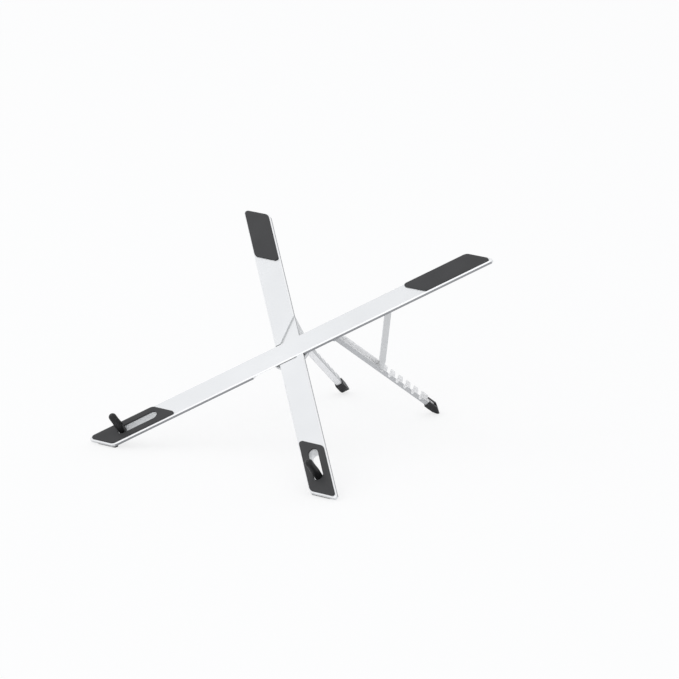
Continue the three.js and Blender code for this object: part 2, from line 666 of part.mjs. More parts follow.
// A rubber bar under the front end, with a sole that lies flat on the floor.
function frontFootSolid(leanSign) {
  const soleBack = FRONT_FOOT_SOLE * Math.cos(tilt);
  const soleDrop = FRONT_FOOT_SOLE * Math.sin(tilt);
  const outline = new THREE.Shape();
  outline.moveTo(toe.x, toe.y);
  outline.lineTo(toe.x + soleBack, toe.y - soleDrop);
  outline.lineTo(toe.x + FRONT_FOOT_RUN, toe.y + FRONT_FOOT_HEIGHT);
  outline.lineTo(toe.x, toe.y + FRONT_FOOT_HEIGHT);
  outline.closePath();
  const geometry = new THREE.ExtrudeGeometry(outline, { depth: FRONT_FOOT_WIDTH, bevelEnabled: false });
  geometry.translate(0, 0, -FRONT_FOOT_WIDTH / 2);
  geometry.applyMatrix4(new THREE.Matrix4().makeBasis(
    new THREE.Vector3(0, 1, 0),
    new THREE.Vector3(0, 0, 1),
    new THREE.Vector3(1, 0, 0),
  ));
  const endCentre = ARM_HALF_LENGTH * Math.sin(halfCross) - FRONT_FOOT_INSET;
  geometry.translate(-leanSign * endCentre, 0, 0);
  return solid(geometry);
}

// One arm with everything that hangs on it; leanSign is +1 for the arm that runs to the back right.
function armAssembly(letter, leanSign) {
  const arm = new THREE.Group();
  arm.rotation.z = -leanSign * halfCross;
  const slope = leanSign * endSlope;
  arm.add(piece(`arm_${letter}`, armSolid(slope, leanSign > 0), 'silver'));
  arm.add(piece(`front_pad_${letter}`, frontPadSolid(slope), 'padRubber'));
  arm.add(piece(`back_pad_${letter}`, padSolid(padInnerEnd, padOuterEnd, slope), 'padRubber'));
  arm.add(piece(`leg_bracket_${letter}`, bracketSolid(), 'steel'));
  arm.add(piece(`bracket_rivet_front_${letter}`, bracketRivetSolid(-1), 'steel'));
  arm.add(piece(`bracket_rivet_back_${letter}`, bracketRivetSolid(1), 'steel'));
  arm.add(piece(`leg_pin_${letter}`, legPinSolid(), 'steel'));
  const strutPin = crossBar(SMALL_PIN_RADIUS, ribOuter, STRUT_HINGE_PLACE, smallPinDepth);
  arm.add(piece(`strut_pin_${letter}`, strutPin, 'steel'));
  const hookPin = crossBar(SMALL_PIN_RADIUS, ribOuter, -hookPlace, smallPinDepth);
  arm.add(piece(`hook_pin_${letter}`, hookPin, 'steel'));

  const hook = new THREE.Group();
  hook.name = `hook_${letter}_hinge`;
  hook.position.set(0, -hookPlace, smallPinDepth);
  hook.add(piece(`hook_core_${letter}`, hookCoreSolid(), 'steel'));
  hook.add(piece(`hook_sleeve_${letter}`, hookSleeveSolid(), 'hookRubber'));
  arm.add(hook);

  const leg = new THREE.Group();
  leg.name = `leg_${letter}_hinge`;
  leg.position.set(0, legHinge.x, legHinge.y);
  leg.rotation.x = -legAngle;
  leg.add(piece(`leg_${letter}`, legSolid(leanSign), 'silver'));
  arm.add(leg);

  const strut = new THREE.Group();
  strut.name = `strut_${letter}_hinge`;
  strut.position.set(0, strutHinge.x, strutHinge.y);
  strut.rotation.x = -strutAngle;
  strut.add(piece(`strut_${letter}`, strutSolid(), 'silver'));
  arm.add(strut);
  return { arm, leg };
}

const stand = new THREE.Group();
const deck = new THREE.Group();
deck.name = 'crossing_hinge';
deck.rotation.x = tilt;
deck.position.z = -(toe.x * Math.sin(tilt) + toe.y * Math.cos(tilt));
stand.add(deck);

deck.add(piece('hub_disc', hubDiscSolid(), 'silver'));
deck.add(piece('hub_washer', hubWasherSolid(), 'nylon'));
deck.add(piece('pivot_pin', pivotPinSolid(), 'steel'));

const floor = block([-OVERSHOOT, -OVERSHOOT, -OVERSHOOT], [OVERSHOOT, OVERSHOOT, 0]);
for (const [letter, leanSign] of [['a', 1], ['b', -1]]) {
  const { arm, leg } = armAssembly(letter, leanSign);
  deck.add(arm);
  deck.add(piece(`front_foot_${letter}`, frontFootSolid(leanSign), 'capRubber'));
  stand.updateMatrixWorld(true);

  // The cap's lowest corner is worn flat where it meets the floor.
  const toLeg = leg.matrixWorld.clone().invert();
  const tip = new THREE.Vector3(0, capEnd, 0).applyMatrix4(leg.matrixWorld);
  const floorHere = new THREE.Matrix4().makeTranslation(tip.x, tip.y, 0).premultiply(toLeg);
  leg.add(piece(`foot_cap_${letter}`, capSolid().subtract(floor.transform(floorHere.elements)), 'capRubber'));
}

// The origin is on the floor, under the middle of the stand as set up.
stand.updateMatrixWorld(true);
const extent = new THREE.Box3().setFromObject(stand, true);
deck.position.y -= (extent.min.y + extent.max.y) / 2;

export default stand;
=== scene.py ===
"""Looks of a folding X-shaped laptop stand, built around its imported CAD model.

Lengths are in metres. +X is to the right, +Y to the back and +Z up, and the stand rests on Z = 0.
Each section below makes one piece or one group of like pieces.
"""
import json
import math

import bmesh
import bpy
import numpy as np
from mathutils import Matrix, Vector


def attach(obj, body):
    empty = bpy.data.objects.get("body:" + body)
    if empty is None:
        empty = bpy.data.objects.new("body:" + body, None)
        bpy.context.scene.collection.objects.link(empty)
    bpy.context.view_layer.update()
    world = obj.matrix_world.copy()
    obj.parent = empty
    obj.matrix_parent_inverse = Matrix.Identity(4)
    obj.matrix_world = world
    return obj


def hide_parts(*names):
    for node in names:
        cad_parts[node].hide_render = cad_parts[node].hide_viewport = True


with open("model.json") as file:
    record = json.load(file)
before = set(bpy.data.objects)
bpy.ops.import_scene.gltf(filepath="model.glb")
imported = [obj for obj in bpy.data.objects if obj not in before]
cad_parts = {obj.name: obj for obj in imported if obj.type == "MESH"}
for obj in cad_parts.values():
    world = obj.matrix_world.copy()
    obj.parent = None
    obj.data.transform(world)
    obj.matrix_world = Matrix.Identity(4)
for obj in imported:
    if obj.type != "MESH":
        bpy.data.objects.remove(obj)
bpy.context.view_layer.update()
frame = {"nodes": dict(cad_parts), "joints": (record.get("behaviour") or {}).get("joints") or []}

# Camera. It looks down on the stand from the front right, from far off through a long lens, so
# the stand shows almost no perspective. It leans over by a few degrees.
MM = 0.001
PAD_TOP = 0.9
joints = {joint["name"]: joint for joint in frame["joints"]}
crossing = Vector(joints["crossing_fold"]["pos_m"])
deck_up = -Vector(joints["crossing_fold"]["axis"]).normalized()

camera_azimuth = math.radians(43.18)
camera_elevation = math.radians(16.77)
camera_roll = math.radians(-3.09)
camera_distance = 3.879
camera_lens = 303.4
camera_reach = 30
aim_offset = Vector((24.7, 24.9, 4.1)) * MM
camera_aim = crossing + deck_up * PAD_TOP * MM + aim_offset

camera = bpy.data.objects.new("camera", bpy.data.cameras.new("camera"))
camera.data.lens = camera_lens
camera.data.sensor_width = 36
camera.data.clip_end = camera_reach
away = Vector((
    math.sin(camera_azimuth) * math.cos(camera_elevation),
    -math.cos(camera_azimuth) * math.cos(camera_elevation),
    math.sin(camera_elevation),
))
camera.rotation_mode = "QUATERNION"
camera.rotation_quaternion = (
    (-away).to_track_quat("-Z", "Y") @ Matrix.Rotation(camera_roll, 3, "Z").to_quaternion()
)
camera.location = camera_aim + away * camera_distance
bpy.context.scene.collection.objects.link(camera)
bpy.context.scene.camera = camera
bpy.context.scene.view_settings.view_transform = "Standard"


# Studio. A sheet of white paper lies under an even white sky, with a large soft lamp at the upper
# left and a smaller one in front. The paper looks almost pure white, with faint shadows.
FLOOR_HALF = 4.0
FLOOR_GLOW = 0.7
SKY_STRENGTH = 0.92
LAMP_AIM = (0, 0, 0.05)


def add_node(tree, kind, settings=None, **links):
    """Adds one node, sets its properties and sockets, and links each named input."""
    node = tree.nodes.new(kind)
    for key, value in (settings or {}).items():
        if isinstance(key, str) and hasattr(node, key):
            setattr(node, key, value)
        else:
            node.inputs[key].default_value = value
    for key, source in links.items():
        tree.links.new(source, node.inputs[key.replace("_", " ")])
    return node


def linear(hex_colour):
    """sRGB hex to linear RGBA: c / 12.92 when dark, else ((c + 0.055) / 1.055) ** 2.4."""
    channels = [int(hex_colour[i:i + 2], 16) / 255 for i in (1, 3, 5)]
    return tuple(c / 12.92 if c <= 0.04045 else ((c + 0.055) / 1.055) ** 2.4 for c in channels) + (1.0,)


def new_material(name):
    """An empty node material, its tree and its output node."""
    material = bpy.data.materials.new(name)
    material.use_nodes = True
    material.node_tree.nodes.clear()
    output = add_node(material.node_tree, "ShaderNodeOutputMaterial")
    return material, material.node_tree, output


def studio_floor():
    """A flat square sheet. The camera sees mostly its own glow, and reflections see white paper."""
    half = FLOOR_HALF
    corners = [(-half, -half, 0), (half, -half, 0), (half, half, 0), (-half, half, 0)]
    mesh = bpy.data.meshes.new("studio_floor")
    mesh.from_pydata(corners, [], [(0, 1, 2, 3)])
    floor = bpy.data.objects.new("studio_floor", mesh)
    bpy.context.scene.collection.objects.link(floor)
    material, tree, output = new_material("paper_sweep")
    path = add_node(tree, "ShaderNodeLightPath")
    sheet = add_node(tree, "ShaderNodeBsdfDiffuse", {"Color": linear("#fbfbfb")})
    glow = add_node(tree, "ShaderNodeEmission", {"Color": linear("#ffffff"), "Strength": 1.0})
    seen = add_node(tree, "ShaderNodeMixShader", {"Fac": FLOOR_GLOW})
    tree.links.new(sheet.outputs[0], seen.inputs[1])
    tree.links.new(glow.outputs[0], seen.inputs[2])
    reflected = add_node(tree, "ShaderNodeBsdfDiffuse", {"Color": linear("#f0f0f1")})
    mix = add_node(tree, "ShaderNodeMixShader", {}, Fac=path.outputs["Is Camera Ray"])
    tree.links.new(reflected.outputs[0], mix.inputs[1])
    tree.links.new(seen.outputs[0], mix.inputs[2])
    tree.links.new(mix.outputs[0], output.inputs["Surface"])
    mesh.materials.append(material)


def soft_lamp(name, place, size, watts):
    """A square lamp that faces the stand."""
    data = bpy.data.lights.new(name, "AREA")
    data.size = size
    data.energy = watts
    lamp = bpy.data.objects.new(name, data)
    lamp.location = place
    lamp.rotation_mode = "QUATERNION"
    lamp.rotation_quaternion = (Vector(LAMP_AIM) - Vector(place)).to_track_quat("-Z", "Y")
    bpy.context.scene.collection.objects.link(lamp)


studio_floor()
world = bpy.data.worlds.new("white_sky")
world.use_nodes = True
world.node_tree.nodes["Background"].inputs["Color"].default_value = linear("#fcfdff")
world.node_tree.nodes["Background"].inputs["Strength"].default_value = SKY_STRENGTH
bpy.context.scene.world = world
soft_lamp("soft_lamp_left", (-1.6, -0.6, 1.9), 1.4, 4.5)
soft_lamp("soft_lamp_front", (0.9, -1.9, 1.3), 1.2, 2.5)


# Frames of the arms. Every piece hangs on one of the two arms, so its shape is worked out in
# that arm's own frame and then placed: x across the arm, y towards its back end, z square to it.
def arm_frame(letter):
    """Columns across, along and up, with the origin on the pivot axis at the arm's top face."""
    across = Vector(joints[f"leg_fold_{letter}"]["axis"]).normalized()
    along = deck_up.cross(across)
    turn = Matrix((across, along, deck_up)).transposed().to_4x4()
    return Matrix.Translation(crossing) @ turn


def hinge_place(name, letter):
    """Place of a hinge in its arm's frame, in millimetres."""
    place = Vector(joints[f"{name}_{letter}"]["pos_m"])
    return (arm_frame(letter).inverted() @ place) / MM


# Anodised aluminium of the arms, legs, struts and hub: bar and sheet, bead blasted and clear
# anodised to a matt satin silver. Light and shade are painted into its colour by which way a face
# turns: a painted highlight on bevels, painted shade on sides and painted light on undersides.
# Colours of painted light and shade by facing: a lit underside, a shaded side, a highlighted bevel and the
# top.
ARM_PAINTED_LIGHT_COLOURS = {"under": "#f0f1f1", "side": "#a4a5a7", "bevel": "#fcfcfc", "top": "#d7d8d9"}
LEG_PAINTED_LIGHT_COLOURS = {"under": "#ffffff", "side": "#c9cacb", "bevel": "#f6f7f7", "top": "#f1f2f2"}
STRUT_PAINTED_LIGHT_COLOURS = {"under": "#dcdddd", "side": "#d4d5d5", "bevel": "#f1f2f2", "top": "#e6e7e7"}
# Upright faces within these distances of the middle line, in mm, get the underside's painted light.
ARM_INSIDE = 8.8
LEG_INSIDE = 1.9
ARM_METALLIC = 1.0
SHEET_METALLIC = 0.45
METAL_EDGE = 0.12
BLAST_GRAIN = 0.35
TONE_CLOUD = 45
SIDE_FROM = 0.3
BEVEL_FROM = 0.7
TOP_FROM = 0.965
UPRIGHT_BELOW = 0.4
WELD_DISTANCE = 0.002
FLAT_WITHIN = math.radians(0.6)
EDGE_SHARPER_THAN = math.radians(32)


def aluminium(name, painted_light_colours, metallic, across, inside_mm):
    """Satin metal whose roughness changes slowly, with a blasted grain as a shallow bump.

    Half of one plus the cosine between a surface and the deck tells undersides (0), sides (0.5),
    bevels (0.88) and tops (1) apart, and each gets its own tone of painted light and shade.
    Upright faces nearer than inside_mm to the arm's middle line are the inside of a slot or
    channel, which gets painted light as bright as the underside.
    """
    material, tree, output = new_material(name)
    coords = add_node(tree, "ShaderNodeTexCoord")
    place = coords.outputs["Object"]
    grain = add_node(
        tree, "ShaderNodeTexNoise", {"Scale": 1 / (BLAST_GRAIN * MM), "Detail": 2.0}, Vector=place
    )
    cloud = add_node(
        tree, "ShaderNodeTexNoise", {"Scale": 1 / (TONE_CLOUD * MM), "Detail": 2.0}, Vector=place
    )
    rough = add_node(
        tree, "ShaderNodeMapRange", {"To Min": 0.36, "To Max": 0.48}, Value=cloud.outputs["Fac"]
    )
    bump = add_node(
        tree, "ShaderNodeBump", {"Strength": 0.12, "Distance": 0.02 * MM}, Height=grain.outputs["Fac"]
    )
    facing = add_node(
        tree,
        "ShaderNodeVectorMath",
        {"operation": "DOT_PRODUCT", 1: deck_up},
        Vector=coords.outputs["Normal"],
    )
    share = add_node(
        tree, "ShaderNodeMapRange", {"From Min": -1.0, "From Max": 1.0}, Value=facing.outputs["Value"]
    )
    # This ramp paints light and shade by facing: painted shade on sides, a painted highlight on bevels,
    # painted light on undersides.
    tone = add_node(tree, "ShaderNodeValToRGB", {}, Fac=share.outputs["Result"])
    tone.color_ramp.interpolation = "CONSTANT"
    tone.color_ramp.elements[0].color = linear(painted_light_colours["under"])
    tone.color_ramp.elements[1].position = SIDE_FROM
    tone.color_ramp.elements[1].color = linear(painted_light_colours["side"])
    tone.color_ramp.elements.new(BEVEL_FROM).color = linear(painted_light_colours["bevel"])
    tone.color_ramp.elements.new(TOP_FROM).color = linear(painted_light_colours["top"])
    # Upright faces near the middle line, inside slots and channels, get painted light: the underside's
    # colour.
    from_middle = add_node(
        tree, "ShaderNodeVectorMath", {"operation": "SUBTRACT", 1: crossing}, Vector=place
    )
    sideways = add_node(
        tree,
        "ShaderNodeVectorMath",
        {"operation": "DOT_PRODUCT", 1: across},
        Vector=from_middle.outputs["Vector"],
    )
    distance = add_node(tree, "ShaderNodeMath", {"operation": "ABSOLUTE"}, Value=sideways.outputs["Value"])
    near = add_node(
        tree,
        "ShaderNodeMath",
        {"operation": "LESS_THAN", 1: inside_mm * MM},
        Value=distance.outputs["Value"],
    )
    upright = add_node(
        tree, "ShaderNodeMath", {"operation": "LESS_THAN", 1: UPRIGHT_BELOW}, Value=facing.outputs["Value"]
    )
    inside = add_node(tree, "ShaderNodeMath", {"operation": "MULTIPLY"})
    tree.links.new(near.outputs["Value"], inside.inputs[0])
    tree.links.new(upright.outputs["Value"], inside.inputs[1])
    colour = add_node(
        tree,
        "ShaderNodeMixRGB",
        {"Color2": linear(painted_light_colours["under"])},
        Fac=inside.outputs["Value"],
        Color1=tone.outputs["Color"],
    )
    surface = add_node(
        tree,
        "ShaderNodeBsdfPrincipled",
        {"Metallic": metallic},
        Roughness=rough.outputs["Result"],
        Base_Color=colour.outputs["Color"],
        Normal=bump.outputs["Normal"],
    )
    tree.links.new(surface.outputs[0], output.inputs["Surface"])
    return material


def break_edges(name, material, edge_mm):
    """A CAD piece with its triangles welded, its flat faces made whole and its sharp edges broken."""
    node = frame["nodes"][name]
    node.data.materials.clear()
    node.data.materials.append(material)
    node.data.polygons.foreach_set("use_smooth", np.zeros(len(node.data.polygons), bool))
    weld = node.modifiers.new("weld", "WELD")
    weld.merge_threshold = WELD_DISTANCE * MM
    whole = node.modifiers.new("whole_faces", "DECIMATE")
    whole.decimate_type = "DISSOLVE"
    whole.angle_limit = FLAT_WITHIN
    edge = node.modifiers.new("broken_edges", "BEVEL")
    edge.width = edge_mm * MM
    edge.segments = 2
    edge.limit_method = "ANGLE"
    edge.angle_limit = EDGE_SHARPER_THAN


for letter in "ab":
    across = Vector(joints[f"leg_fold_{letter}"]["axis"])
    arm_metal = aluminium(f"anodised_arm_{letter}", ARM_PAINTED_LIGHT_COLOURS, ARM_METALLIC, across, ARM_INSIDE)
    leg_metal = aluminium(f"anodised_leg_{letter}", LEG_PAINTED_LIGHT_COLOURS, SHEET_METALLIC, across, LEG_INSIDE)
    strut_metal = aluminium(f"anodised_strut_{letter}", STRUT_PAINTED_LIGHT_COLOURS, SHEET_METALLIC, across, LEG_INSIDE)
    break_edges(f"arm_{letter}", arm_metal, METAL_EDGE)
    break_edges(f"leg_{letter}", leg_metal, METAL_EDGE)
    break_edges(f"strut_{letter}", strut_metal, METAL_EDGE)


# Rubbers. The pads are matt grey silicone sheet with a dusty bloom, the hook sleeves are smooth
# satin black rubber, and the feet and leg caps are black rubber with a fine mould grain.
BLOOM_SIZE = 18
POLE_DISTANCE = 0.0005


def rubber(name, colour, worn_colour, roughness, grain_mm, grain_height_mm):
    """A dull skin: fine noise as bump, and slow noise that mixes the colour with its rubbed tone."""
    material, tree, output = new_material(name)
    place = add_node(tree, "ShaderNodeTexCoord").outputs["Object"]
    grain = add_node(
        tree, "ShaderNodeTexNoise", {"Scale": 1 / (grain_mm * MM), "Detail": 3.0}, Vector=place
    )
    cloud = add_node(
        tree, "ShaderNodeTexNoise", {"Scale": 1 / (BLOOM_SIZE * MM), "Detail": 2.0}, Vector=place
    )
    bloom = add_node(
        tree, "ShaderNodeMapRange", {"From Min": 0.3, "From Max": 0.7}, Value=cloud.outputs["Fac"]
    )
    tone = add_node(tree, "ShaderNodeValToRGB", {}, Fac=bloom.outputs["Result"])
    tone.color_ramp.elements[0].color = linear(colour)
    tone.color_ramp.elements[1].color = linear(worn_colour)
    bump = add_node(
        tree,
        "ShaderNodeBump",
        {"Strength": 0.5, "Distance": grain_height_mm * MM},
        Height=grain.outputs["Fac"],
    )
    surface = add_node(
        tree,
        "ShaderNodeBsdfPrincipled",
        {"Roughness": roughness, "IOR": 1.45},
        Base_Color=tone.outputs["Color"],
        Normal=bump.outputs["Normal"],
    )
    tree.links.new(surface.outputs[0], output.inputs["Surface"])
    return material


pad_silicone = rubber("pad_silicone", "#3b3b3c", "#404041", 0.75, 0.25, 0.012)
hook_rubber = rubber("hook_rubber", "#0e0e0f", "#131314", 0.42, 0.5, 0.004)
foot_rubber = rubber("foot_rubber", "#202021", "#272728", 0.42, 0.2, 0.01)


def new_piece(name, points_mm, quads, letter, body, node, material, smooth_degrees=40):
    """A mesh given in an arm's frame, put in place, hung on its body and shown for its CAD node.

    Points that meet on a pole are joined into one.
    """
    placing = np.array(arm_frame(letter))
    points = points_mm * MM @ placing[:3, :3].T + placing[:3, 3]
    mesh = bpy.data.meshes.new(name)
    mesh.from_pydata(points.tolist(), [], quads.tolist())
    mesh.materials.append(material)
    joined = bmesh.new()
    joined.from_mesh(mesh)
    bmesh.ops.remove_doubles(joined, verts=joined.verts, dist=POLE_DISTANCE * MM)
    joined.to_mesh(mesh)
    joined.free()
    mesh.shade_smooth()
    mesh.set_sharp_from_angle(angle=math.radians(smooth_degrees))
    piece = bpy.data.objects.new(name, mesh)
    bpy.context.scene.collection.objects.link(piece)
    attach(piece, body)
    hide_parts(node)


def ring_quads(ring_count, points_per_ring, closed_rings=False):
    """Quads between each ring of points and the next, and from the last ring to the first if closed."""
    ring = np.arange(ring_count if closed_rings else ring_count - 1)[:, None]
    step = np.arange(points_per_ring)[None, :]
    after = (step + 1) % points_per_ring
    upper = (ring + 1) % ring_count
    corners = (
        ring * points_per_ring + step,
        ring * points_per_ring + after,
        upper * points_per_ring + after,
        upper * points_per_ring + step,
    )
    return np.stack(corners, axis=-1).reshape(-1, 4)


# Rubber pads. Die-cut silicone sheet is glued on the end of each arm, with a rim of bare metal
# round it. The front pads are cut out round the hook's slot, and all top edges are soft.
ARM_HALF_LENGTH = 146.8
PAD_MARGIN = 0.9
PAD_LENGTH = 50
PAD_HALF_WIDTH = 8.1
PAD_OUTER_END = ARM_HALF_LENGTH - PAD_MARGIN * math.sqrt(2)
PAD_INNER_END = PAD_OUTER_END - PAD_LENGTH
PAD_UNDERSIDE = 0.05
PAD_EDGE_ROUND = 0.22
PAD_SHARP_RADIUS = 1.8
PAD_BLUNT_RADIUS = 6.1
PAD_SPINE_INSET = 8
CORNER_STEPS = 13
SIDE_STEPS = 8
SLOT_HALF_WIDTH = 3.1
SLOT_RIM = 0.3
SLOT_TRAVEL = 23.3


def pad_outline(letter, near, far):
    """Points round a slanted strip: straight sides, with an arc of its own radius at each corner."""
    turn = arm_frame(letter)
    slope = turn[0][1] / turn[0][0]
    half = PAD_HALF_WIDTH
    plain_corners = ((-half, near), (half, near), (half, far), (-half, far))
    corners = np.array([(x, y + slope * x) for x, y in plain_corners])
    points = []
    for index, corner in enumerate(corners):
        sharp = (index % 2 == 0) == (slope > 0)
        radius = PAD_SHARP_RADIUS if sharp else PAD_BLUNT_RADIUS
        back = corners[index - 1] - corner
        ahead = corners[(index + 1) % 4] - corner
        back /= np.linalg.norm(back)
        ahead /= np.linalg.norm(ahead)
        half_angle = math.acos(back @ ahead) / 2
        middle = (back + ahead) / np.linalg.norm(back + ahead)
        centre = corner + middle * radius / math.sin(half_angle)
        start = -middle * radius
        swing = np.linspace(-1, 1, CORNER_STEPS)[:, None] * (math.pi / 2 - half_angle)
        sideways = np.array((-start[1], start[0]))
        points.append(centre + start * np.cos(swing) + sideways * np.sin(swing))
    corner_points = np.concatenate(points)
    following = np.roll(corner_points, -1, axis=0)
    share = np.linspace(0, 1, SIDE_STEPS, endpoint=False)[:, None, None]
    stretched = (corner_points + (following - corner_points) * share).transpose(1, 0, 2)
    long_step = np.linalg.norm(following - corner_points, axis=1) > 2 * PAD_SHARP_RADIUS
    return np.concatenate([steps if long else steps[:1] for steps, long in zip(stretched, long_step)])


def outward(outline):
    """Unit normals of an anticlockwise outline, from the chord between each point's neighbours."""
    chord = np.roll(outline, -1, axis=0) - np.roll(outline, 1, axis=0)
    normal = np.stack((chord[:, 1], -chord[:, 0]), axis=1)
    return normal / np.linalg.norm(normal, axis=1)[:, None]


def slot_points(around, half_width, low, high):
    """Where rays from the slot's middle towards the given points cross the slot's round-ended edge.

    A ray leaves through a straight side, or else through the arc about the end's own centre.
    """
    middle = np.array((0, (low + high) / 2))
    half_length = (high - low) / 2
    ray = around - middle
    ray /= np.linalg.norm(ray, axis=1)[:, None]
    across = np.maximum(np.abs(ray[:, 0]), 1e-9)
    along = np.abs(ray[:, 1])
    side_reach = half_width / across
    end_reach = along * half_length + np.sqrt(np.maximum(half_width**2 - (half_length * across) ** 2, 0))
    reach = np.where(side_reach * along <= half_length, side_reach, end_reach)
    return middle + ray * reach[:, None]


def rubber_pad(letter, end):
    """Rings run up the outside, round the top edge and inwards over the top, then down inside.

    A front pad's rings close on the slot's edge, and a back pad's on one point in its middle.
    """
    near, far = (PAD_INNER_END, PAD_OUTER_END) if end == "back" else (-PAD_OUTER_END, -PAD_INNER_END)
    outline = pad_outline(letter, near, far)
    turn = np.radians((0, 30, 60, 90))
    inset = PAD_EDGE_ROUND * (1 - np.cos(turn))
    rise = PAD_TOP - PAD_EDGE_ROUND * (1 - np.sin(turn))
    normal = outward(outline)
    rings = [(outline, PAD_UNDERSIDE)]
    rings += [(outline - normal * step, height) for step, height in zip(inset, rise)]
    if end == "front":
        low = hinge_place("hook_fold", letter).y
        high = low + SLOT_TRAVEL
        hole_half = SLOT_HALF_WIDTH + SLOT_RIM
        for step, height in zip(inset[::-1], rise[::-1]):
            rings.append((slot_points(outline, hole_half + step, low, high), height))
        rings.append((slot_points(outline, hole_half, low, high), PAD_UNDERSIDE))
    else:
        along = np.clip(outline[:, 1], near + PAD_SPINE_INSET, far - PAD_SPINE_INSET)
        spine = np.stack((np.zeros(len(outline)), along), axis=1)
        middle = outline * (0, 0) + (0, (near + far) / 2)
        rings += [((outline + spine) / 2, PAD_TOP), (middle, PAD_TOP), (middle, PAD_UNDERSIDE)]
    points = np.concatenate([np.insert(ring, 2, height, axis=1) for ring, height in rings])
    quads = ring_quads(len(rings), len(outline), closed_rings=True)
    name = f"{end}_pad_{letter}"
    new_piece(
        f"silicone_{name}", points, quads, letter, f"arm_{letter}", name, pad_silicone
    )


for letter in "ab":
    rubber_pad(letter, "front")
    rubber_pad(letter, "back")


# Hook sleeves. A moulded black rubber tube is pushed over each hook's steel stem. It swells a
# little near the foot, and its round tip has a shallow dimple where the mould's core stood.
HOOK_RISE = 16.5
HOOK_RADIUS = 2.7
HOOK_SWELL = 0.2
HOOK_BASE = 2.5
HOOK_BASE_ROUND = 0.3
HOOK_DIMPLE_RADIUS = 1.0
HOOK_DIMPLE_DEPTH = 0.15


def turned(profile, sides=48, axis="z"):
    """Points and quads of a profile of (radius, height) pairs that is turned about an axis.

    The profile runs up the outside, so the quads face outwards. That of a solid piece starts and
    ends on the axis.
    """
    radius, height = np.asarray(profile, float).T
    around = np.linspace(0, 2 * math.pi, sides, endpoint=False)
    x = radius[:, None] * np.cos(around)
    y = radius[:, None] * np.sin(around)
    z = np.broadcast_to(height[:, None], x.shape)
    points = np.stack((x, y, z), axis=-1).reshape(-1, 3)
    if axis == "x":
        points = points[:, (2, 0, 1)]
    return points, ring_quads(len(radius), sides)


def arc(centre, radius, start, end, steps=8):
    """Points of (radius, height) along an arc, with its angles in degrees from the outward way."""
    turn = np.radians(np.linspace(start, end, steps))
    return np.stack((centre[0] + radius * np.cos(turn), centre[1] + radius * np.sin(turn)), axis=1)


def hook_sleeve(letter):
    """Foot edge, soft swell by a squared sine, a half-ball tip and the dimple's dished floor."""
    hinge = hinge_place("hook_fold", letter)
    top = HOOK_RISE + PAD_TOP - hinge.z
    straight = np.linspace(HOOK_BASE + HOOK_BASE_ROUND, top - HOOK_RADIUS, 20)
    share = np.clip((straight - (PAD_TOP - hinge.z)) / (4 * HOOK_RADIUS), 0, 1)
    swell = HOOK_SWELL * np.sin(math.pi * share) ** 2
    rim_angle = math.degrees(math.acos(HOOK_DIMPLE_RADIUS / HOOK_RADIUS))
    tip = arc((0, top - HOOK_RADIUS), HOOK_RADIUS, 4, rim_angle, 12)
    dimple = np.linspace(0.9, 0, 6)
    sunk = tip[-1, 1] - HOOK_DIMPLE_DEPTH * (1 - dimple**2)
    dish = np.stack((dimple * HOOK_DIMPLE_RADIUS, sunk), axis=1)
    profile = np.concatenate((
        [(0, HOOK_BASE)],
        arc((HOOK_RADIUS - HOOK_BASE_ROUND, HOOK_BASE + HOOK_BASE_ROUND), HOOK_BASE_ROUND, -90, -15, 4),
        np.stack((HOOK_RADIUS + swell, straight), axis=1),
        tip,
        dish,
    ))
    points, quads = turned(profile)
    points += np.array(hinge)
    name = f"hook_sleeve_{letter}"
    new_piece(f"rubber_{name}", points, quads, letter, f"hook_{letter}", name, hook_rubber)


for letter in "ab":
    hook_sleeve(letter)


# Front feet and leg caps. The feet are strips of black rubber under the front ends, cut level
# with the desk, and the caps are moulded rubber boots pushed over the legs.
FRONT_FOOT_EDGE = 0.15
CAP_EDGE = 0.12
for letter in "ab":
    break_edges(f"front_foot_{letter}", foot_rubber, FRONT_FOOT_EDGE)
    break_edges(f"foot_cap_{letter}", foot_rubber, CAP_EDGE)


# Steel. Pins and rivets are bright zinc-plated wire with headed ends, and the leg brackets and
# hook stems are stamped and cut from plated strip, so they are a little duller.
GAP = 0.3
ARM_THICKNESS = 2.5
LEG_HALF_WIDTH = 2.3
RIB_OUTER = 4.3
CROSS_PIN_RADIUS = 0.75
SHANK_RADIUS = 1.0
BRACKET_SHEET = 0.9
BRACKET_REACH = 5.4
BRACKET_EDGE = 0.15
HOOK_CORE_EDGE = 0.1
LEG_PIN_HEAD = (1.6, 0.6)
RIVET_HEAD = (1.8, 0.4)
RIVET_TOP = -ARM_THICKNESS / 2 - 0.4
RIVET_REACH = BRACKET_REACH - RIVET_HEAD[0] + GAP
HEAD_RIM_SHARE = 0.35
PIN_CHAMFER_SHARE = 0.25
PLATE_CLOUD = 3
PLATE_VARIES = 0.06


def plated_steel(name, colour, roughness):
    """Zinc plate: a metal with faint slow clouds in its roughness."""
    material, tree, output = new_material(name)
    place = add_node(tree, "ShaderNodeTexCoord").outputs["Object"]
    cloud = add_node(
        tree, "ShaderNodeTexNoise", {"Scale": 1 / (PLATE_CLOUD * MM), "Detail": 3.0}, Vector=place
    )
    rough = add_node(
        tree,
        "ShaderNodeMapRange",
        {"To Min": roughness - PLATE_VARIES, "To Max": roughness + PLATE_VARIES},
        Value=cloud.outputs["Fac"],
    )
    surface = add_node(
        tree,
        "ShaderNodeBsdfPrincipled",
        {"Metallic": 1.0, "Base Color": linear(colour)},
        Roughness=rough.outputs["Result"],
    )
    tree.links.new(surface.outputs[0], output.inputs["Surface"])
    return material


bright_steel = plated_steel("zinc_plated_steel", "#c6c8ca", 0.26)
strip_steel = plated_steel("plated_strip_steel", "#b4b6b9", 0.38)


